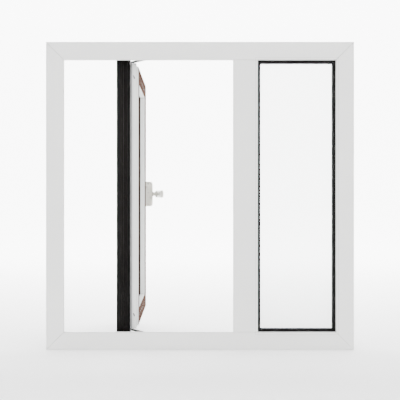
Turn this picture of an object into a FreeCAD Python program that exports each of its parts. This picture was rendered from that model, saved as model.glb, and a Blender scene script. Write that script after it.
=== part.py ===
import FreeCAD, Part
import os
import Sketcher

os.makedirs("parts", exist_ok=True)
doc = FreeCAD.newDocument("casement_window")
V = FreeCAD.Vector

# All sizes are millimetres. X runs to the right, Y to the outside, Z up.
# The origin is the middle of the sill's underside, half way through the depth.
SIZES = {
    "frame_wide": 900, "frame_tall": 900, "frame_half_deep": 35, "frame_face": 52,
    "frame_rebate": 32, "lip_step": 42, "lip_thick_back": -23, "lip_back": -15,
    "room_half_back": -8, "outer_half_front": -2, "wall": 2,
    "mullion_left": 97, "mullion_right": 169, "mullion_outer_left": 121,
    "sash_left": -405.5, "sash_wide": 507, "sash_tall": 812,
    "sash_step": 10.5, "sash_face_start": 19.5, "sash_platform": 46, "sash_step_depth": 6,
    "sash_room_back": 18.5, "sash_outer_front": 24, "sash_back": 64, "sash_glass_back": 49,
    "sash_outer_lip": 62, "bead_inner": 64.5, "bead_deep": 17.4, "bead_step": 0.15,
    "groove": 3, "edge_round": 1.2,
    "glass_thick": 4, "fixing_hole": 4, "fixing_height": 150, "fixing_depth": 16,
    "pivot_depth": 11, "pivot_closed": -397.5, "pivot_open": -229, "arm_offset": 82,
    "arm_reach": 138.67, "arm_along_sash": 111.83, "pin": 3, "pin_hole": 3.08,
    "stay_edge": 406, "stay_plate": 2.5, "arm_plate": 3.0, "arm_rivet": 0.8, "stay_gap": 0.3, "track_top": 418,
    "handle_height": 457, "handle_inset": 33, "handle_base_tall": 88, "handle_base_wide": 24,
    "handle_base_deep": 25, "spindle": 7, "keep_height": 200, "rod_travel": 18,
    "cut_through": 600, "over": 1,
}


class Size:
    """A number that also carries the sheet expression it came from."""

    def __init__(self, value, text):
        self.value, self.text = float(value), text

    def join(self, other, sign, value):
        return Size(value, "(" + self.text + " " + sign + " " + other.text + ")")

    def __add__(self, other):
        other = size(other)
        return self.join(other, "+", self.value + other.value)

    def __sub__(self, other):
        other = size(other)
        return self.join(other, "-", self.value - other.value)

    def __mul__(self, other):
        other = size(other)
        return self.join(other, "*", self.value * other.value)

    def __radd__(self, other):
        return size(other) + self

    def __rsub__(self, other):
        return size(other) - self

    def __rmul__(self, other):
        return size(other) * self

    def __neg__(self):
        return size(-1) * self


def size(value):
    if isinstance(value, Size):
        return value
    return Size(value, "(" + format(float(value), ".6f") + ")")


sheet = doc.addObject("Spreadsheet::Sheet", "Sheet")
G = {}
for row, (word, number) in enumerate(SIZES.items(), start=1):
    sheet.set("A%d" % row, word)
    sheet.set("B%d" % row, str(number))
    sheet.setAlias("B%d" % row, word)
    G[word] = Size(number, "Sheet." + word)
doc.recompute()

nodes = []


def keep(obj, label):
    obj.Label = label
    nodes.append((label, obj))
    return obj


def sketch(body, name, role, loops=(), circles=()):
    sk = body.newObject("Sketcher::SketchObject", name)
    sk.AttachmentSupport = [([f for f in body.Origin.OriginFeatures if f.Role == role][0], "")]
    sk.MapMode = "FlatFace"
    first = 0
    for loop in loops:
        pts = [(size(a), size(b)) for a, b in loop]
        n = len(pts)
        for i in range(n):
            a, b = pts[i], pts[(i + 1) % n]
            sk.addGeometry(Part.LineSegment(V(a[0].value, a[1].value, 0), V(b[0].value, b[1].value, 0)), False)
        for i in range(n):
            sk.addConstraint(Sketcher.Constraint("Coincident", first + i, 2, first + (i + 1) % n, 1))
        for i in range(n):
            k = sk.addConstraint(Sketcher.Constraint("DistanceX", -1, 1, first + i, 1, pts[i][0].value))
            sk.setExpression("Constraints[%d]" % k, pts[i][0].text)
            k = sk.addConstraint(Sketcher.Constraint("DistanceY", -1, 1, first + i, 1, pts[i][1].value))
            sk.setExpression("Constraints[%d]" % k, pts[i][1].text)
        first += n
    for a, b, r in circles:
        a, b, r = size(a), size(b), size(r)
        sk.addGeometry(Part.Circle(V(a.value, b.value, 0), V(0, 0, 1), r.value), False)
        for kind, ids, s in (("DistanceX", (-1, 1, first, 3), a), ("DistanceY", (-1, 1, first, 3), b), ("Radius", (first,), r)):
            k = sk.addConstraint(Sketcher.Constraint(kind, *ids, s.value))
            sk.setExpression("Constraints[%d]" % k, s.text)
        first += 1
    return sk


def pad(body, sk, length, backwards=False, middle=False):
    f = body.newObject("PartDesign::Pad", body.Name + "_pad")
    f.Profile = sk
    f.Length = size(length).value
    f.setExpression("Length", size(length).text)
    f.Reversed = backwards
    if middle:
        f.SideType = "Symmetric"
    return f


def cut(body, sk, length):
    f = body.newObject("PartDesign::Pocket", body.Name + "_cut")
    f.Profile = sk
    f.SideType = "Symmetric"
    f.Length = size(length).value
    f.setExpression("Length", size(length).text)
    return f


def base(x, y, z):
    return FreeCAD.Placement(V(x, y, z), FreeCAD.Rotation())


# The sash is drawn closed and then carried to its open rest pose.
OPEN = (FreeCAD.Placement(V(G["pivot_open"].value, G["pivot_depth"].value, 0), FreeCAD.Rotation(V(0, 0, 1), 90))
        * base(-G["pivot_closed"].value, -G["pivot_depth"].value, 0))
STILL = FreeCAD.Placement()


def member(label, side, loops, length, wide, at, mitre=True, moved=STILL, holes=(), slots=(), face_holes=()):
    """One extruded length. Loops are (inward, depth) outlines."""
    body = doc.addObject("PartDesign::Body", label)
    upright = side in ("left", "right")
    sign = -1 if side in ("right", "top") else 1
    if upright:
        flat = [[(sign * size(a), b) for a, b in loop] for loop in loops]
        sk = sketch(body, label + "_section", "XY_Plane", flat)
    else:
        flat = [[(b, sign * size(a)) for a, b in loop] for loop in loops]
        sk = sketch(body, label + "_section", "YZ_Plane", flat)
    pad(body, sk, length)
    if mitre:
        e, w, n = G["over"], size(wide), size(length)
        if upright:
            tri = [[(-e, -e), (w + e, w + e), (w + e, -e)], [(-e, n + e), (w + e, n - w - e), (w + e, n + e)]]
            tri = [[(sign * size(a), b) for a, b in t] for t in tri]
        else:
            tri = [[(-e, -e), (w + e, w + e), (-e, w + e)], [(n + e, -e), (n - w - e, w + e), (n + e, w + e)]]
            tri = [[(a, sign * size(b)) for a, b in t] for t in tri]
        cut(body, sketch(body, label + "_mitre", "XZ_Plane", tri), G["cut_through"])
    if holes:
        cut(body, sketch(body, label + "_holes", "YZ_Plane", (), holes), G["cut_through"])
    if slots:
        cut(body, sketch(body, label + "_slots", "YZ_Plane", slots), size(26))
    if face_holes:
        cut(body, sketch(body, label + "_bore", "XZ_Plane", (), face_holes), G["cut_through"])
    body.Placement = moved * base(*at)
    return body


def ring(label, x0, x1, z0, z1, band, y0, deep, moved=STILL):
    """A flat rectangular ring or, with no band, a plate."""
    body = doc.addObject("PartDesign::Body", label)
    w, n = size(x1) - size(x0), size(z1) - size(z0)
    loops = [[(0, 0), (w, 0), (w, n), (0, n)]]
    if band:
        b = size(band)
        loops.append([(b, b), (w - b, b), (w - b, n - b), (b, n - b)])
    pad(body, sketch(body, label + "_outline", "XZ_Plane", loops), deep, backwards=True)
    body.Placement = moved * base(size(x0).value, size(y0).value, size(z0).value)
    return body


def box(label, x0, y0, z0, x, y, z, moved=STILL):
    f = doc.addObject("Part::Box", label)
    for prop, s in (("Length", x), ("Width", y), ("Height", z)):
        f.setExpression(prop, size(s).text)
    f.Placement = moved * base(size(x0).value, size(y0).value, size(z0).value)
    return f


def rod(label, x0, y0, z0, r, length, axis=V(0, 0, 1), moved=STILL):
    f = doc.addObject("Part::Cylinder", label)
    f.setExpression("Radius", size(r).text)
    f.setExpression("Height", size(length).text)
    f.Placement = moved * FreeCAD.Placement(V(size(x0).value, size(y0).value, size(z0).value), FreeCAD.Rotation(V(0, 0, 1), axis))
    return f


def fuse(label, shapes, minus=None):
    f = doc.addObject("Part::MultiFuse", label + "_joined" if minus else label)
    f.Shapes = shapes
    if minus is None:
        return f
    c = doc.addObject("Part::Cut", label)
    c.Base, c.Tool = f, minus
    return c


def group(label, shapes):
    f = doc.addObject("Part::Compound", label)
    f.Links = shapes
    return f


FW, FT, FD = G["frame_wide"], G["frame_tall"], G["frame_half_deep"]
left, right, top = -FW.value / 2, FW.value / 2, FT.value
face, reb, step, wall = G["frame_face"], G["frame_rebate"], G["lip_step"], G["wall"]
lip_a, lip_b, room_back, out_front = G["lip_thick_back"], G["lip_back"], G["room_half_back"], G["outer_half_front"]

room_half = [
    [(0, -FD), (face, -FD), (face, lip_a), (step, lip_a), (step, lip_b), (reb, lip_b), (reb, room_back), (0, room_back)],
    [(wall, wall - FD), (face - wall, wall - FD), (face - wall, lip_a - wall), (step - wall, lip_a - wall),
     (step - wall, lip_b - wall), (reb - wall, lip_b - wall), (reb - wall, room_back - wall), (wall, room_back - wall)],
]
outer_half = [
    [(0, out_front), (reb, out_front), (reb, FD), (0, FD)],
    [(wall, out_front + wall), (reb - wall, out_front + wall), (reb - wall, FD - wall), (wall, FD - wall)],
]
frame_sides = {"jamb_left": ("left", FT, (left, 0, 0)), "jamb_right": ("right", FT, (right, 0, 0)),
               "sill": ("bottom", FW, (left, 0, 0)), "head": ("top", FW, (left, 0, top))}
fix = [(G["fixing_depth"], G["fixing_height"], G["fixing_hole"]), (G["fixing_depth"], FT - G["fixing_height"], G["fixing_hole"])]
strips = []
for name, (side, length, at) in frame_sides.items():
    keep(member("frame_" + name, side, room_half, length, face + 2, at), "frame_" + name)
    keep(member("frame_" + name + "_outer", side, outer_half, length, face + 2, at,
                holes=fix if side in ("left", "right") else ()), "frame_" + name + "_outer")
    for i, (a, b) in enumerate(((3, 6), (27, 30))):
        strips.append(member("frame_strip_%s_%d" % (name, i), side,
                             [[(a, room_back), (b, room_back), (b, out_front), (a, out_front)]], length, face, at))

# Mullion between the two lights, notched at both ends over the head's and the sill's lips.
ml, mr, mo = G["mullion_left"], G["mullion_right"], G["mullion_outer_left"]
deep_in = face - reb
mid = [
    [(ml, -FD), (mr, -FD), (mr, lip_a), (mr - 10, lip_a), (mr - 10, lip_b), (mr - deep_in, lip_b), (mr - deep_in, room_back),
     (ml + deep_in, room_back), (ml + deep_in, lip_b), (ml + 10, lip_b), (ml + 10, lip_a), (ml, lip_a)],
    [(ml + wall, wall - FD), (mr - wall, wall - FD), (mr - wall, lip_a - wall), (mr - 10 - wall, lip_a - wall),
     (mr - 10 - wall, lip_b - wall), (mr - deep_in - wall, lip_b - wall), (mr - deep_in - wall, room_back - wall),
     (ml + deep_in + wall, room_back - wall), (ml + deep_in + wall, lip_b - wall), (ml + 10 + wall, lip_b - wall),
     (ml + 10 + wall, lip_a - wall), (ml + wall, lip_a - wall)],
]
mull_len = FT - reb - reb
body = doc.addObject("PartDesign::Body", "mullion")
pad(body, sketch(body, "mullion_section", "XY_Plane", mid), mull_len)
notch = [[(-FD - 5, -1), (lip_b, -1), (lip_b, deep_in), (-FD - 5, deep_in)],
         [(-FD - 5, mull_len + 1), (lip_b, mull_len + 1), (lip_b, mull_len - deep_in), (-FD - 5, mull_len - deep_in)]]
cut(body, sketch(body, "mullion_notch", "YZ_Plane", notch), G["cut_through"])
body.Placement = base(0, 0, reb.value)
keep(body, "mullion")
body = doc.addObject("PartDesign::Body", "mullion_outer")
pad(body, sketch(body, "mullion_outer_section", "XY_Plane", [
    [(mo, out_front), (mr - deep_in, out_front), (mr - deep_in, FD), (mo, FD)],
    [(mo + wall, out_front + wall), (mr - deep_in - wall, out_front + wall), (mr - deep_in - wall, FD - wall), (mo + wall, FD - wall)]]), mull_len)
body.Placement = base(0, 0, reb.value)
keep(body, "mullion_outer")
for i, x in enumerate((124, 143)):
    strips.append(box("mullion_strip_%d" % i, x, -8, 32, 3, out_front - room_back, mull_len))
keep(group("frame_thermal_breaks", strips), "frame_thermal_breaks")

# Weather seal on the lip round the opening light.
keep(ring("frame_lip_seal", left + 43, ml + 9, 43, FT - 43, 7, lip_a, 10.4), "frame_lip_seal")

# Fixed light.
fx0, fx1, fz0, fz1 = mr - deep_in, size(right) - reb, reb, FT - reb
gt = G["glass_thick"]
keep(ring("fixed_pane_room", fx0 + 5, fx1 - 5, fz0 + 5, fz1 - 5, None, lip_b, gt), "fixed_pane_room")
keep(ring("fixed_pane_outer", fx0 + 5, fx1 - 5, fz0 + 5, fz1 - 5, None, 5, gt), "fixed_pane_outer")
keep(ring("fixed_pane_spacer", fx0 + 7, fx1 - 7, fz0 + 7, fz1 - 7, 14, -11, 16), "fixed_pane_spacer")
keep(ring("fixed_seal_room", fx0 + 11, fx1 - 11, fz0 + 11, fz1 - 11, 15, lip_a, lip_b - lip_a), "fixed_seal_room")
keep(ring("fixed_seal_outer", fx0 + 3, fx1 - 3, fz0 + 3, fz1 - 3, 19, 9, 3), "fixed_seal_outer")
bead = [[(0, 12), (24, 12), (24, 24), (16, 33), (0, 33)], [(2, 14), (22, 14), (22, 23), (15, 31), (2, 31)]]
for name, side, length, at in (("left", "left", fz1 - fz0, (fx0.value, 0, fz0.value)), ("right", "right", fz1 - fz0, (fx1.value, 0, fz0.value)),
                               ("bottom", "bottom", fx1 - fx0, (fx0.value, 0, fz0.value)), ("top", "top", fx1 - fx0, (fx0.value, 0, fz1.value))):
    keep(member("fixed_bead_" + name, side, bead, length, 26, at), "fixed_bead_" + name)
blocks = [box("fixed_block_%d" % i, x, -14, z, 60, 22, 5) for i, (x, z) in enumerate(((175, 32), (330, 32), (175, 863), (330, 863)))]
keep(group("fixed_setting_blocks", blocks), "fixed_setting_blocks")

# Opening sash.
q0, q1, q2 = G["sash_step"], G["sash_face_start"], G["sash_platform"]
v1, v2, v3, v4 = G["sash_step_depth"], G["sash_room_back"], G["sash_outer_front"], G["sash_back"]
vg, ql, gr, er = G["sash_glass_back"], G["sash_outer_lip"], G["groove"], G["edge_round"]
sash_room = [
    [(q1, 0), (q2, 0), (q2, v2), (q0, v2), (q0, v1), (q1, v1)],
    [(q1 + wall, wall), (q2 - wall, wall), (q2 - wall, v2 - wall), (q0 + wall, v2 - wall), (q0 + wall, v1 + wall), (q1 + wall, v1 + wall)],
]
sash_outer = [
    [(0, v3), (q2, v3), (q2, vg), (ql, vg), (ql, v4), (er, v4), (er, 60), (0, 59), (0, 43), (gr, 43), (gr, 37), (0, 37),
     (0, 31), (gr, 31), (gr, 26.5), (0, 26.5)],
    [(5, v3 + wall), (q2 - wall, v3 + wall), (q2 - wall, vg + wall), (ql - wall, vg + wall), (ql - wall, v4 - wall), (5, v4 - wall)],
]
bi, bd, bf = G["bead_inner"], G["bead_deep"], G["bead_step"]
sash_bead = [[(q2, bf), (bi - 2, bf), (bi, bf + 2), (bi, bd), (q2, bd)],
             [(q2 + wall, bf + wall), (bi - 2.8, bf + wall), (bi - wall, bf + wall + 0.8), (bi - wall, bd - wall), (q2 + wall, bd - wall)]]
sl, sw, st = G["sash_left"], G["sash_wide"], G["sash_tall"]
sz = (FT.value - st.value) / 2
sy = -FD.value
sash_sides = {"hinge_stile": ("left", st, (sl.value, sy, sz)), "lock_stile": ("right", st, (sl.value + sw.value, sy, sz)),
              "bottom_rail": ("bottom", sw, (sl.value, sy, sz)), "top_rail": ("top", sw, (sl.value, sy, sz + st.value))}
hh = G["handle_height"] - sz
strips = []
for name, (side, length, at) in sash_sides.items():
    slots = ()
    if side == "left":
        slots = [[(9.6, 47), (12.8, 47), (15.8, 57), (12.6, 57)], [(9.6, 755), (12.8, 755), (15.8, 765), (12.6, 765)]]
    keep(member("sash_" + name, side, sash_room, length, ql + 4, at, moved=OPEN, slots=slots,
                face_holes=[(-G["handle_inset"], hh, 5.5)] if side == "right" else ()), "sash_" + name)
    keep(member("sash_" + name + "_outer", side, sash_outer, length, ql + 4, at, moved=OPEN), "sash_" + name + "_outer")
    keep(member("sash_bead_" + name.split("_")[0], side, sash_bead, length, ql + 4, at, moved=OPEN), "sash_bead_" + name.split("_")[0])
    for i, (a, b) in enumerate(((12.5, 15.5), (41, 44))):
        strips.append(member("sash_strip_%s_%d" % (name, i), side, [[(a, v2), (b, v2), (b, v3), (a, v3)]], length, ql, at, moved=OPEN))
keep(group("sash_thermal_breaks", strips), "sash_thermal_breaks")
sx0, sx1, sz0, sz1 = sl, sl + sw, size(sz), size(sz) + st
front = size(sy)
keep(ring("sash_pane_room", sx0 + 51, sx1 - 51, sz0 + 51, sz1 - 51, None, front + 23, gt, OPEN), "sash_pane_room")
keep(ring("sash_pane_outer", sx0 + 51, sx1 - 51, sz0 + 51, sz1 - 51, None, front + 42, gt, OPEN), "sash_pane_outer")
keep(ring("sash_pane_spacer", sx0 + 53, sx1 - 53, sz0 + 53, sz1 - 53, 10.5, front + 27, 15, OPEN), "sash_pane_spacer")
keep(ring("sash_seal_room", sx0 + 47, sx1 - 47, sz0 + 47, sz1 - 47, 18.5, front + bd, 23 - bd, OPEN), "sash_seal_room")
keep(ring("sash_seal_outer", sx0 + 51, sx1 - 51, sz0 + 51, sz1 - 51, 12.5, front + 46, 3, OPEN), "sash_seal_outer")
blocks = [box("sash_block_%d" % i, x, sy + 24, z, 60, 20, 5, OPEN) for i, (x, z) in enumerate(((-330, sz + 46), (-35, sz + 46), (-330, sz + st.value - 51), (-35, sz + st.value - 51)))]
keep(group("sash_setting_blocks", blocks), "sash_setting_blocks")

# Friction stays, top and bottom.
pd, pc, po, off = G["pivot_depth"].value, G["pivot_closed"].value, G["pivot_open"].value, G["arm_offset"].value
reach, along, pin, hole = G["arm_reach"], G["arm_along_sash"], G["pin"], G["pin_hole"]
edge, thick, gap, roof = G["stay_edge"].value, G["stay_plate"].value, G["stay_gap"].value, G["track_top"].value
half = FT.value / 2
fixed_x = po + off
tracks, shoes, arms, sash_arms, rivets, pivots, screws = {}, {}, {}, {}, [], [], []
turn = FreeCAD.Placement(V(fixed_x, pd, 0), FreeCAD.Rotation(V(1, 0, 0), V(-off, along.value, 0)))
for word, s in (("top", 1), ("bottom", -1)):
    def low(a, b):
        return half + a if s > 0 else half - b
    n = word
    w1, w2 = edge + thick, edge + thick + gap
    arm_thick = G["arm_plate"].value
    w3 = w2 + arm_thick
    sash_arms[n] = fuse("sash_arm_" + n, [box("sash_arm_bar_" + n, pc - 7, pd - 8, low(edge, w1), 148, 16, thick, OPEN),
                                          rod("sash_arm_end_" + n, pc - 7, pd, low(edge, w1), 8, thick, moved=OPEN)],
                        rod("sash_arm_hole_" + n, pc, pd, low(edge - 1, w1 + 1), hole, thick + 2, moved=OPEN))
    arms[n] = fuse("support_arm_" + n, [box("arm_bar_" + n, 0, -7, low(w2, w3), reach, 14, G["arm_plate"], turn),
                                        rod("arm_foot_" + n, 0, 0, low(w2, w3), 7, G["arm_plate"], moved=turn),
                                        rod("arm_tip_" + n, reach, 0, low(w2, w3), 7, G["arm_plate"], moved=turn)],
                   rod("arm_hole_" + n, 0, 0, low(w2 - 1, w3 + 1), hole, arm_thick + 2, moved=turn))
    rv = G["arm_rivet"].value
    rivets.append(rod("arm_rivet_" + n, reach, 0, low(w3, w3 + rv), 4.5, G["arm_rivet"], moved=turn))
    shoes[n] = fuse("stay_shoe_" + n, [box("shoe_slab_" + n, po - 15, pd - 7.6, low(roof - 4.8, roof - 2.8), 30, 15.2, 2),
                                       rod("shoe_boss_" + n, po, pd, low(w2, roof - 4), 6, roof - 4 - w2),
                                       rod("shoe_pin_" + n, po, pd, low(edge + gap, w2 + 1), pin, w2 + 1 - edge - gap)])
    tracks[n] = fuse("stay_track_" + n, [box("track_plate_" + n, left + 33, pd - 10, low(roof - 2.5, roof), 297, 20, 2.5),
                                         box("track_rail_a_" + n, left + 33, pd - 10, low(roof - 5, roof - 2), 297, 2, 3),
                                         box("track_rail_b_" + n, left + 33, pd + 8, low(roof - 5, roof - 2), 297, 2, 3)])
    pivots += [fuse("stay_pivot_" + n, [rod("pivot_pin_" + n, fixed_x, pd, low(w2 - 1, roof - 2.5), pin, roof - 2.5 - w2 + 1),
                                        rod("pivot_head_" + n, fixed_x, pd, low(w2 - 1.5, w2 - 0.5), 5, 1)])]
    screws += [rod("track_screw_%s_%d" % (n, i), x, pd, low(roof - 4.5, roof - 2.5), 4, 2) for i, x in enumerate((-200, -172, -127))]
for kind, made in (("stay_track_", tracks), ("stay_shoe_", shoes), ("support_arm_", arms), ("sash_arm_", sash_arms)):
    for n in ("top", "bottom"):
        keep(made[n], kind + n)
keep(group("support_arm_rivets", rivets), "support_arm_rivets")
keep(group("stay_pivots", pivots), "stay_pivots")
keep(group("track_screws", screws), "track_screws")

# Lock: rod and cams in the lock stile's groove, keeps on the mullion.
kz = [half - G["keep_height"].value, half + G["keep_height"].value]
travel = G["rod_travel"].value
lock_x = sl.value + sw.value
keep(box("lock_rod", lock_x - 2.7, sy + 37.3, 110, 2.4, 5.4, 680, OPEN), "lock_rod")
cams = [rod("lock_cam_%d" % i, lock_x - 0.3, sy + 40, z - travel, 2.7, 12.8, V(1, 0, 0), OPEN) for i, z in enumerate(kz)]
keep(group("lock_cams", cams), "lock_cams")
keeps = []
for i, z in enumerate(kz):
    keeps.append(fuse("keep_%d" % i, [box("keep_plate_%d" % i, mo - 2, 2, z - 20, 2, 12, 40),
                                      box("keep_lip_%d" % i, 108.5, 8.3, z - 9, mo - 108.5, 3, 18)]))
keep(group("lock_keeps", keeps), "lock_keeps")

# Handle.
hx, hz = lock_x - G["handle_inset"].value, G["handle_height"].value
bt, bw, dp = G["handle_base_tall"] * 0.5, G["handle_base_wide"], G["handle_base_deep"]
body = doc.addObject("PartDesign::Body", "handle_base")
pad(body, sketch(body, "handle_base_side", "YZ_Plane",
                 [[(0, -bt), (-dp + 9, -bt), (-dp + 5, -bt + 2), (-dp + 1.5, -bt + 7), (-dp, -bt + 15), (-dp, bt - 15), (-dp + 1.5, bt - 7),
                   (-dp + 5, bt - 2), (-dp + 9, bt), (0, bt)]]), bw, middle=True)
cut(body, sketch(body, "handle_base_bore", "XZ_Plane", (), [(0, 0, 5.5)]), G["cut_through"])
body.Placement = OPEN * base(hx, sy, hz)
keep(body, "handle_base")
body = doc.addObject("PartDesign::Body", "handle_grip")
pad(body, sketch(body, "handle_grip_plan", "XY_Plane",
                 [[(6.5, -33), (6.8, -37), (6, -40), (3.5, -44.5), (-1, -48), (-7, -50.5), (-30, -54.5), (-70, -62), (-100, -66),
                   (-110, -66), (-115, -62.5), (-115.5, -57.5), (-112, -53.5), (-105, -52.5), (-70, -48.5), (-30, -41), (-14, -36.5), (-7, -33)]]), 26, middle=True)
body.Placement = OPEN * base(hx, sy, hz)
neck = rod("handle_neck", hx, sy - 25.3, hz, 7.5, 12, V(0, -1, 0), OPEN)
keep(fuse("handle_lever", [body, neck]), "handle_lever")
sp = G["spindle"]
keep(box("handle_spindle", hx - sp.value / 2, sy - 25.3, hz - sp.value / 2, sp, 47, sp, OPEN), "handle_spindle")

doc.recompute()
bad = 0
for obj in doc.Objects:
    if any(word in ("Invalid", "Error") for word in obj.State):
        print("STATE", obj.Name, obj.State)
        bad += 1
for label, obj in nodes:
    shape = obj.Shape
    if shape.isNull() or not shape.isValid() or shape.Volume <= 0:
        print("SHAPE", label)
        bad += 1
        continue
    shape.exportStep("parts/" + label + ".step")
if bad:
    raise SystemExit("%d objects did not build" % bad)
print(len(nodes), "nodes written")
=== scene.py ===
import math

import bmesh
import bpy
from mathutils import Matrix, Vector


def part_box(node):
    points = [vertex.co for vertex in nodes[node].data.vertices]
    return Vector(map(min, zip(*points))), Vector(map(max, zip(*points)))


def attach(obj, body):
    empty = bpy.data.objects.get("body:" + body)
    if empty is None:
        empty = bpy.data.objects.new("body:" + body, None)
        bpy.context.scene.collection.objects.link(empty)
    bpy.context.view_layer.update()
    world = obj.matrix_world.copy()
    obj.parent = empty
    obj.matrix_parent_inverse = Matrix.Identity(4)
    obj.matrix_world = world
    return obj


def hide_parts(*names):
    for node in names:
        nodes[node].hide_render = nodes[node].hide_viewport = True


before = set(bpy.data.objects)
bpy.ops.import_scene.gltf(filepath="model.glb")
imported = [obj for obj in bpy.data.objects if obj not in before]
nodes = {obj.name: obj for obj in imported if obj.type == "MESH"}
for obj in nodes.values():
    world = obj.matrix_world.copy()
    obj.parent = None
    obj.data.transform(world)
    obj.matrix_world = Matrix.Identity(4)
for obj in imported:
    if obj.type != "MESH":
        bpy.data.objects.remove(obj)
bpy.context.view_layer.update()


# ---------- materials ----------
class Mat:
    """A small helper round one node tree."""

    def __init__(self, name, color, rough, metal=0.0, spec=0.5):
        self.m = bpy.data.materials.new(name)
        self.m.use_nodes = True
        self.t = self.m.node_tree
        self.b = self.t.nodes["Principled BSDF"]
        self.b.inputs["Base Color"].default_value = (*color, 1)
        self.b.inputs["Roughness"].default_value = rough
        self.b.inputs["Metallic"].default_value = metal
        self.b.inputs["Specular IOR Level"].default_value = spec
        self.m.diffuse_color = (*color, 1)
        self.co = self.t.nodes.new("ShaderNodeTexCoord").outputs["Object"]

    def node(self, kind, **ins):
        n = self.t.nodes.new(kind)
        for k, v in ins.items():
            n.inputs[k.replace("_", " ")].default_value = v
        return n

    def link(self, a, b):
        self.t.links.new(a, b)

    def noise(self, scale, detail=4.0, rough=0.55, stretch=None):
        n = self.node("ShaderNodeTexNoise", Scale=scale, Detail=detail, Roughness=rough)
        src = self.co
        if stretch:
            mp = self.t.nodes.new("ShaderNodeMapping")
            mp.inputs["Scale"].default_value = stretch
            self.link(self.co, mp.inputs["Vector"])
            src = mp.outputs["Vector"]
        self.link(src, n.inputs["Vector"])
        return n.outputs["Fac"]

    def ramp(self, fac, lo, hi, a, b):
        n = self.node("ShaderNodeMapRange")
        n.inputs["From Min"].default_value = lo
        n.inputs["From Max"].default_value = hi
        n.inputs["To Min"].default_value = a
        n.inputs["To Max"].default_value = b
        self.link(fac, n.inputs["Value"])
        return n.outputs["Result"]

    def math(self, op, a, b=None):
        n = self.t.nodes.new("ShaderNodeMath")
        n.operation = op
        for i, v in enumerate((a, b)):
            if v is None:
                continue
            if isinstance(v, (int, float)):
                n.inputs[i].default_value = v
            else:
                self.link(v, n.inputs[i])
        return n.outputs[0]

    def mix(self, fac, a, b):
        n = self.t.nodes.new("ShaderNodeMix")
        n.data_type = "RGBA"
        for i, v in ((0, fac), (6, a), (7, b)):
            if isinstance(v, (int, float)):
                n.inputs[i].default_value = v
            elif isinstance(v, tuple):
                n.inputs[i].default_value = (*v, 1)
            else:
                self.link(v, n.inputs[i])
        return n.outputs[2]

    def color(self, out):
        self.link(out, self.b.inputs["Base Color"])

    def roughness(self, fac, a, b):
        self.link(self.ramp(fac, 0.3, 0.7, a, b), self.b.inputs["Roughness"])

    def bump(self, fac, strength, dist, edge=0.0):
        n = self.node("ShaderNodeBump", Strength=strength, Distance=dist)
        self.link(fac, n.inputs["Height"])
        if edge:
            bv = self.t.nodes.new("ShaderNodeBevel")
            bv.samples = 4
            bv.inputs["Radius"].default_value = edge
            self.link(bv.outputs["Normal"], n.inputs["Normal"])
        self.link(n.outputs["Normal"], self.b.inputs["Normal"])

    def seams(self, across, half_a, mid_a, half_z, mid_z, wide):
        """1 on the hairline where mitred lengths meet, 0 elsewhere."""
        sep = self.t.nodes.new("ShaderNodeSeparateXYZ")
        self.link(self.co, sep.inputs[0])
        a = self.math("SUBTRACT", half_a, self.math("ABSOLUTE", self.math("SUBTRACT", sep.outputs[across], mid_a)))
        b = self.math("SUBTRACT", half_z, self.math("ABSOLUTE", self.math("SUBTRACT", sep.outputs["Z"], mid_z)))
        gap = self.math("ABSOLUTE", self.math("SUBTRACT", a, b))
        near = self.math("LESS_THAN", self.math("MAXIMUM", a, b), 0.068)
        return self.math("MULTIPLY", near, self.ramp(gap, wide, wide * 2.2, 1.0, 0.0))

    def frame_line(self, across, half_a, mid_a, half_z, mid_z, inset, wide):
        """1 on a rectangle's outline, inset from its edges, 0 elsewhere."""
        sep = self.t.nodes.new("ShaderNodeSeparateXYZ")
        self.link(self.co, sep.inputs[0])
        a = self.math("SUBTRACT", half_a, self.math("ABSOLUTE", self.math("SUBTRACT", sep.outputs[across], mid_a)))
        b = self.math("SUBTRACT", half_z, self.math("ABSOLUTE", self.math("SUBTRACT", sep.outputs["Z"], mid_z)))
        gap = self.math("ABSOLUTE", self.math("SUBTRACT", self.math("MINIMUM", a, b), inset))
        return self.ramp(gap, wide, wide * 2.2, 1.0, 0.0)


# Painted shade: a faint dark line 7 mm out from the fixed opening's edges stands in for the shade of a small step
# there.
FIXED_STEP_SHADE_LINE = ("X", 0.1145 + 0.007, 0.2835, 0.398 + 0.007, 0.45, 0.0, 0.0004)
FRAME_SEAM = ("X", 0.45, 0.0, 0.45, 0.45, 0.00022)
SASH_SEAM = ("Y", 0.2535, 0.2565, 0.406, 0.45, 0.00020)


def coat(name, color, dark, rough, seam, edge=0.0008, spec=0.5, line=None):
    m = Mat(name, color, rough, spec=spec)
    big, fine = m.noise(3.2, 3), m.noise(900.0, 2)
    base = m.mix(m.ramp(big, 0.35, 0.65, 0.0, 1.0), color, dark)
    speck = m.mix(m.ramp(m.noise(2600.0, 1), 0.62, 0.72, 0.0, 0.35), base, tuple(c * 0.82 for c in color))
    lines = m.math("MULTIPLY", m.seams(*seam), 0.75)
    # Painted shade: the extra line darkens the coat where a small step would be in shade.
    if line:
        lines = m.math("MAXIMUM", lines, m.math("MULTIPLY", m.frame_line(*line), 0.35))
    m.color(m.mix(lines, speck, tuple(c * 0.28 for c in color)))
    m.roughness(m.noise(26.0, 3), rough - 0.05, rough + 0.07)
    m.bump(fine, 0.16, 0.00012, edge)
    return m.m


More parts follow.
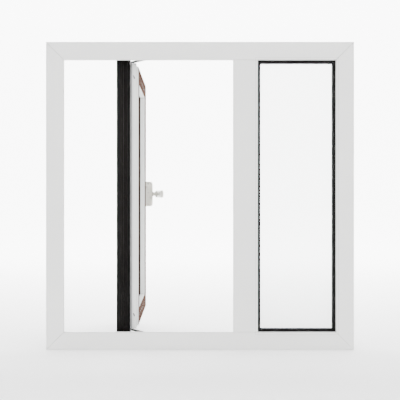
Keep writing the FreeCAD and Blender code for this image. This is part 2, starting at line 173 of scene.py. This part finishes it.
# Painted reflection: brown with blotches and flecks stands in for brown surroundings mirrored in the white sash's room
# faces; its dark lines are the mitre and bead joints.
def painted_brown_reflection(name, seam):
    a, b = (0.085, 0.052, 0.042), (0.052, 0.030, 0.025)
    m = Mat(name, a, 0.62, spec=0.0)
    brown_blotch = m.noise(34.0, 5, 0.6)
    fine_flecks = m.noise(520.0, 3, 0.6)
    col = m.mix(m.ramp(brown_blotch, 0.35, 0.68, 0.0, 0.75), a, b)
    col = m.mix(m.ramp(fine_flecks, 0.6, 0.74, 0.0, 0.35), col, (0.06, 0.037, 0.031))
    lines = m.math("MAXIMUM", m.seams(*seam), m.frame_line(*seam[:5], 0.046, 0.0003))
    m.color(m.mix(m.math("MULTIPLY", lines, 0.8), col, (0.02, 0.013, 0.01)))
    m.roughness(brown_blotch, 0.55, 0.68)
    m.bump(fine_flecks, 0.25, 0.00012, 0.0006)
    return m.m


def rubber():
    m = Mat("seal_rubber_black", (0.004, 0.004, 0.004), 0.7, spec=0.1)
    m.color(m.mix(m.ramp(m.noise(40, 4), 0.4, 0.7, 0.0, 1.0), (0.0035, 0.0035, 0.0035), (0.008, 0.008, 0.0078)))
    m.roughness(m.noise(180, 3), 0.52, 0.72)
    m.bump(m.noise(1400, 2), 0.3, 0.0001, 0.0006)
    return m.m


def plastic(name, a, b, rough, scale=700.0):
    m = Mat(name, a, rough)
    fib = m.noise(scale, 3, 0.6, (1.0, 1.0, 0.2))
    m.color(m.mix(m.ramp(fib, 0.4, 0.66, 0.0, 1.0), a, b))
    m.roughness(m.noise(90, 3), rough - 0.06, rough + 0.08)
    m.bump(fib, 0.22, 0.0001, 0.0004)
    return m.m


def steel(name, a, b, rough, stretch):
    m = Mat(name, a, rough, metal=1.0)
    brush = m.noise(900, 3, 0.6, stretch)
    m.color(m.mix(m.ramp(brush, 0.35, 0.68, 0.0, 1.0), a, b))
    m.roughness(m.noise(55, 4), rough - 0.07, rough + 0.1)
    m.bump(brush, 0.25, 0.00006, 0.0005)
    return m.m


def lacquer():
    a, b = (0.56, 0.54, 0.48), (0.50, 0.485, 0.43)
    m = Mat("handle_lacquer_warm_grey", a, 0.3, metal=0.35)
    m.color(m.mix(m.ramp(m.noise(14, 3), 0.35, 0.65, 0.0, 1.0), a, b))
    m.roughness(m.noise(70, 3), 0.24, 0.36)
    m.bump(m.noise(1500, 2), 0.12, 0.00008)
    m.b.inputs["Coat Weight"].default_value = 0.25
    return m.m


def glass():
    m = Mat("glazing_clear", (0.86, 0.93, 0.91), 0.03)
    m.b.inputs["Alpha"].default_value = 0.10
    m.color(m.mix(m.ramp(m.noise(2.2, 2), 0.35, 0.65, 0.0, 1.0), (0.86, 0.93, 0.91), (0.83, 0.91, 0.90)))
    m.roughness(m.noise(9, 4), 0.015, 0.05)
    m.bump(m.noise(3.0, 1), 0.04, 0.0004)
    return m.m


WHITE, PALE = (0.70, 0.70, 0.688), (0.675, 0.675, 0.664)
BLACK, SOOT = (0.0024, 0.0020, 0.0018), (0.0050, 0.0043, 0.0039)
white_frame = coat("frame_coat_white", WHITE, PALE, 0.34, FRAME_SEAM, 0.004, line=FIXED_STEP_SHADE_LINE)
white_sash = coat("sash_coat_white", WHITE, PALE, 0.34, SASH_SEAM)
black_frame = coat("frame_coat_black", BLACK, SOOT, 0.48, FRAME_SEAM, spec=0.07)
black_sash = coat("sash_coat_black", BLACK, SOOT, 0.48, SASH_SEAM, spec=0.07)
brown = painted_brown_reflection("sash_room_painted_brown_reflection", SASH_SEAM)
seal = rubber()
poly = plastic("thermal_break_grey", (0.36, 0.36, 0.365), (0.28, 0.28, 0.285), 0.6)
shoe = plastic("shoe_plastic_black", (0.02, 0.02, 0.02), (0.032, 0.032, 0.032), 0.5, 1200)
spacer = steel("spacer_bar_grey", (0.30, 0.30, 0.31), (0.22, 0.22, 0.23), 0.42, (1, 1, 0.1))
stainless = steel("stay_stainless", (0.50, 0.50, 0.50), (0.38, 0.38, 0.385), 0.32, (0.08, 1, 1))
zinc = steel("lock_zinc_grey", (0.16, 0.16, 0.165), (0.11, 0.11, 0.115), 0.48, (1, 1, 0.06))
# Painted shade: near-black for the inside of the hinge stile's hollow.
inside = plastic("hollow_painted_shade", (0.02, 0.02, 0.02), (0.03, 0.03, 0.03), 0.8)
# Painted shade: the stainless support arms get a near-black coat standing in for the shade they sit in.
dark = plastic("stay_arm_painted_shade", (0.006, 0.0055, 0.005), (0.012, 0.011, 0.0105), 0.5, 500)
dark.node_tree.nodes["Principled BSDF"].inputs["Specular IOR Level"].default_value = 0.2
handle_mat = lacquer()
clear = glass()


def paint(node, mat):
    ob = nodes[node]
    ob.data.materials.clear()
    ob.data.materials.append(mat)
    for p in ob.data.polygons:
        p.material_index = 0


for name in nodes:
    sash = name.startswith("sash_")
    if "thermal" in name or "block" in name:
        paint(name, poly)
    elif "seal" in name:
        paint(name, seal)
    elif "spacer" in name:
        paint(name, spacer)
    elif "pane" in name:
        paint(name, clear)
    # Painted shade: the support arms are coloured near-black for the shade on them.
    elif name.startswith("support_arm_t") or name.startswith("support_arm_b"):
        paint(name, dark)
    elif name.startswith("stay_shoe"):
        paint(name, shoe)
    elif name in ("lock_rod", "lock_cams"):
        paint(name, zinc)
    elif name.startswith(("stay_", "sash_arm", "lock_", "support_arm", "track_screws", "handle_spindle")):
        paint(name, stainless)
    elif name.startswith("handle"):
        paint(name, handle_mat)
    elif name.endswith("_outer") or name.startswith("fixed_bead"):
        paint(name, black_sash if sash else black_frame)
    else:
        paint(name, white_sash if sash else white_frame)

# The sash's flat faces towards the room carry a painted brown reflection on the white coat. At rest the sash stands
# open, and they look along +X.
for name in nodes:
    if name.startswith("sash_") and (name.endswith("stile") or name.endswith("rail") or name.startswith("sash_bead")):
        me = nodes[name].data
        me.materials.append(brown)
        for p in me.polygons:
            if p.normal.x > 0.6 and p.center.x > -0.1865:
                p.material_index = 1


# Painted shade: the hinge stile's hollow walls, where its two cleat slots open into it, get a near-black colour
# standing in for the shade inside.
me = nodes["sash_hinge_stile"].data
me.materials.append(inside)
for p in me.polygons:
    v, q = -0.183 - p.center.x, p.center.y - 0.003
    if 0.0019 <= v <= 0.0167 and 0.0110 <= q <= 0.0441 and not (q <= 0.0197 and v <= 0.0062):
        p.material_index = 2


# ---------- handle: the CAD pieces' shapes with their soft edges ----------
def loft(name, rings, mat, body, stands_for):
    bm = bmesh.new()
    rows = [[bm.verts.new(v) for v in ring] for ring in rings]
    n = len(rows[0])
    for a, b in zip(rows, rows[1:]):
        for i in range(n):
            bm.faces.new((a[i], a[(i + 1) % n], b[(i + 1) % n], b[i]))
    bm.faces.new(rows[0])
    bm.faces.new(list(reversed(rows[-1])))
    bmesh.ops.recalc_face_normals(bm, faces=bm.faces)
    me = bpy.data.meshes.new(name)
    bm.to_mesh(me)
    bm.free()
    for p in me.polygons:
        p.use_smooth = len(p.vertices) == 4
    ob = bpy.data.objects.new(name, me)
    bpy.context.scene.collection.objects.link(ob)
    me.materials.append(mat)
    if stands_for:
        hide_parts(stands_for)
    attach(ob, body)
    return ob


def oval(half_a, half_b, power, count=48):
    out = []
    for i in range(count):
        t = 2 * math.pi * i / count
        c, s = math.cos(t), math.sin(t)
        out.append((math.copysign(abs(c) ** (2 / power), c) * half_a, math.copysign(abs(s) ** (2 / power), s) * half_b))
    return out


(bx0, by0, bz0), (bx1, by1, bz1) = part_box("handle_base")
cy, cz = (by0 + by1) / 2, (bz0 + bz1) / 2
half_w, half_t = (by1 - by0) / 2, (bz1 - bz0) / 2
rings = []
for p, k in ((0.0, 0.0), (0.0006, -0.0002), (0.016, -0.0003), (0.0195, -0.0009), (0.0222, -0.0024), (0.0240, -0.0048), (0.0248, -0.0082), (0.025, -0.0105)):
    rings.append([(bx0 + p, cy + a, cz + b) for a, b in oval(half_w + k, half_t + k * 1.4, 3.2 if p < 0.02 else 2.7)])
loft("handle_base_skin", rings, handle_mat, "sash", "handle_base")

# Lever: one bent bar. It leaves the neck square to the base, turns through an elbow and bows out along the sash.
# d runs from the handle's axis towards the hinge side, p stands off the base plane; then half thickness, half width, squareness.
line = [(0.0000, 0.0328, 0.0050, 0.0070, 2.2), (0.0000, 0.0333, 0.0062, 0.0098, 2.4), (0.0000, 0.0345, 0.0065, 0.0112, 2.5),
        (0.0000, 0.0368, 0.0065, 0.0120, 2.6), (0.0005, 0.0392, 0.0064, 0.0124, 2.7), (0.0024, 0.0420, 0.0062, 0.0126, 2.7),
        (0.0064, 0.0441, 0.0062, 0.0127, 2.7), (0.0120, 0.0452, 0.0062, 0.0128, 2.8),
        (0.0200, 0.0462, 0.0062, 0.0128, 2.8), (0.0340, 0.0486, 0.0062, 0.0130, 2.8), (0.0520, 0.0518, 0.0061, 0.0130, 2.8),
        (0.0700, 0.0550, 0.0061, 0.0130, 2.8), (0.0880, 0.0578, 0.0061, 0.0130, 2.8), (0.1020, 0.0592, 0.0062, 0.0129, 2.7),
        (0.1090, 0.0595, 0.0059, 0.0122, 2.6), (0.1128, 0.0596, 0.0050, 0.0106, 2.5), (0.1146, 0.0596, 0.0034, 0.0078, 2.4),
        (0.1152, 0.0596, 0.0014, 0.0040, 2.2)]
rings = []
for i, (d, p, thick, wide, power) in enumerate(line):
    d0, p0 = line[max(i - 1, 0)][:2]
    d1, p1 = line[min(i + 1, len(line) - 1)][:2]
    run = Vector((d1 - d0, p1 - p0)).normalized()
    out = Vector((-run.y, run.x))
    rings.append([(bx0 + p + out.y * a, cy - (d + out.x * a), cz + b) for a, b in oval(thick, wide, power)])
grip = loft("handle_lever_skin", rings, handle_mat, "handle", "handle_lever")
rings = []
for p, r in ((0.0253, 0.0069), (0.0256, 0.0075), (0.0278, 0.0075), (0.0283, 0.0069), (0.0300, 0.0066), (0.0330, 0.0066), (0.0350, 0.0065)):
    rings.append([(bx0 + p, cy + a, cz + b) for a, b in oval(r, r, 2.0)])
loft("handle_neck_skin", rings, handle_mat, "handle", None)


# ---------- cross recesses on the track screws, drawn as small dished heads ----------
def screw(name, x, y, z, up):
    """A domed head with a cross recess, on a track plate. up is the way the head looks."""
    n, rr = 32, 0.0040
    prof = [(rr, 0.0), (rr, 0.0007), (rr * 0.92, 0.0013), (rr * 0.7, 0.0017), (rr * 0.45, 0.0019)]
    bm = bmesh.new()
    rows = [[bm.verts.new((x + r * math.cos(2 * math.pi * i / n), y + r * math.sin(2 * math.pi * i / n), z + up * h)) for i in range(n)] for r, h in prof]
    star = []
    for i in range(n):
        t = 2 * math.pi * i / n
        arm = max(abs(math.cos(t)), abs(math.sin(t)))
        r = rr * (0.42 if arm > 0.95 else 0.16)
        star.append(bm.verts.new((x + r * math.cos(t), y + r * math.sin(t), z + up * 0.0019)))
    rows.append(star)
    rows.append([bm.verts.new((x + (v.co.x - x) * 0.6, y + (v.co.y - y) * 0.6, z + up * 0.0007)) for v in star])
    for a, b in zip(rows, rows[1:]):
        for i in range(n):
            bm.faces.new((a[i], a[(i + 1) % n], b[(i + 1) % n], b[i]))
    bm.faces.new(rows[0])
    bm.faces.new(list(reversed(rows[-1])))
    bmesh.ops.recalc_face_normals(bm, faces=bm.faces)
    me = bpy.data.meshes.new(name)
    bm.to_mesh(me)
    bm.free()
    me.materials.append(stainless)
    ob = bpy.data.objects.new(name, me)
    bpy.context.scene.collection.objects.link(ob)
    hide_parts("track_screws")
    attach(ob, "frame")


(_, ty0, _), (_, ty1, _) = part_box("stay_track_top")
top_z, low_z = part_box("track_screws")[1][2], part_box("track_screws")[0][2]
for i, x in enumerate((-0.200, -0.172, -0.127)):
    screw("track_screw_head_top_%d" % i, x, (ty0 + ty1) / 2, top_z, -1)
    screw("track_screw_head_bottom_%d" % i, x, (ty0 + ty1) / 2, low_z, 1)

# ---------- fixed light: a flat rubber lip on the glass, inside the CAD seal ----------
(sx0, _, sz0), (sx1, _, sz1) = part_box("fixed_seal_room")
glass_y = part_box("fixed_pane_room")[0][1]
lip = []
for y in (glass_y - 0.0010, glass_y - 0.0001):
    for k in (0.0148, 0.0178):
        lip += [(sx0 + k, y, sz0 + k), (sx1 - k, y, sz0 + k), (sx1 - k, y, sz1 - k), (sx0 + k, y, sz1 - k)]
lip_faces = []
for c in range(4):
    d = (c + 1) % 4
    lip_faces += [(c, d, 4 + d, 4 + c), (8 + c, 12 + c, 12 + d, 8 + d), (c, 8 + c, 8 + d, d), (4 + c, 4 + d, 12 + d, 12 + c)]
bm = bmesh.new()
corners = [bm.verts.new(v) for v in lip]
for f in lip_faces:
    bm.faces.new([corners[i] for i in f])
bmesh.ops.recalc_face_normals(bm, faces=bm.faces)
me = bpy.data.meshes.new("fixed_seal_lip_skin")
bm.to_mesh(me)
bm.free()
me.materials.append(seal)
ob = bpy.data.objects.new("fixed_seal_lip_skin", me)
bpy.context.scene.collection.objects.link(ob)
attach(ob, "frame")

# ---------- stage: one pale sweep from floor to wall, glowing brighter towards the back as painted light ---
pale = Mat("stage_pale_glowing", (0.90, 0.90, 0.90), 0.95, spec=0.05)
pale.b.inputs["Emission Color"].default_value = (1, 1, 1, 1)
sep = pale.t.nodes.new("ShaderNodeSeparateXYZ")
pale.link(pale.co, sep.inputs[0])
# Painted light: the sweep emits light, weak at the front and strong at the back, though it is no lamp.
pale.link(pale.ramp(sep.outputs["Y"], -0.5, 3.5, 0.42, 4.4), pale.b.inputs["Emission Strength"])
pale.color(pale.mix(pale.ramp(pale.noise(0.6, 2), 0.3, 0.7, 0.0, 1.0), (0.91, 0.91, 0.91), (0.89, 0.89, 0.89)))
prof = [(0.0, -0.0005), (2.0, -0.0005), (5.6, -0.0005)]
prof += [(5.6 + 3.0 * math.sin(t), 3.0 - 0.0005 - 3.0 * math.cos(t)) for t in [math.radians(86) * i / 24 for i in range(1, 25)]]
prof.append((8.65, 7.5))
count = 96
verts, faces = [(0.0, 0.0, prof[0][1])], []
for r, z in prof[1:]:
    verts += [(r * math.cos(2 * math.pi * i / count), r * math.sin(2 * math.pi * i / count), z) for i in range(count)]
for i in range(count):
    faces.append((0, 1 + i, 1 + (i + 1) % count))
for k in range(len(prof) - 2):
    for i in range(count):
        j = (i + 1) % count
        faces.append((1 + k * count + i, 1 + (k + 1) * count + i, 1 + (k + 1) * count + j, 1 + k * count + j))
me = bpy.data.meshes.new("stage_sweep")
me.from_pydata(verts, [], faces)
for p in me.polygons:
    p.use_smooth = True
me.materials.append(pale.m)
sweep = bpy.data.objects.new("stage_sweep", me)
bpy.context.scene.collection.objects.link(sweep)

# ---------- light ----------
world = bpy.data.worlds.new("studio")
world.use_nodes = True
world.node_tree.nodes["Background"].inputs["Color"].default_value = (1.0, 1.0, 1.0, 1)
world.node_tree.nodes["Background"].inputs["Strength"].default_value = 0.55
bpy.context.scene.world = world


def area(name, at, aim, size, power):
    data = bpy.data.lights.new(name, "AREA")
    data.shape = "SQUARE"
    data.size = size
    data.energy = power
    ob = bpy.data.objects.new(name, data)
    ob.location = at
    ob.rotation_euler = (Vector(aim) - Vector(at)).to_track_quat("-Z", "Y").to_euler()
    bpy.context.scene.collection.objects.link(ob)


area("key", (1.9, -3.2, 2.6), (0, 0, 0.45), 2.4, 84)
area("fill", (-3.0, -2.6, 1.6), (0, 0, 0.45), 2.6, 42)
area("back_wash", (0.0, 2.2, 4.6), (0, 6.4, 0.8), 3.6, 700)

# ---------- camera ----------
cam = bpy.data.cameras.new("camera")
cam.sensor_width = 36
cam.lens = 76.95
cam.shift_x = 0.0325
cam.shift_y = -0.01
cam.clip_end = 60
eye = bpy.data.objects.new("camera", cam)
eye.location = (-0.038, -2.533, 0.45)
eye.rotation_euler = (math.pi / 2, 0, 0)
bpy.context.scene.collection.objects.link(eye)
bpy.context.scene.camera = eye
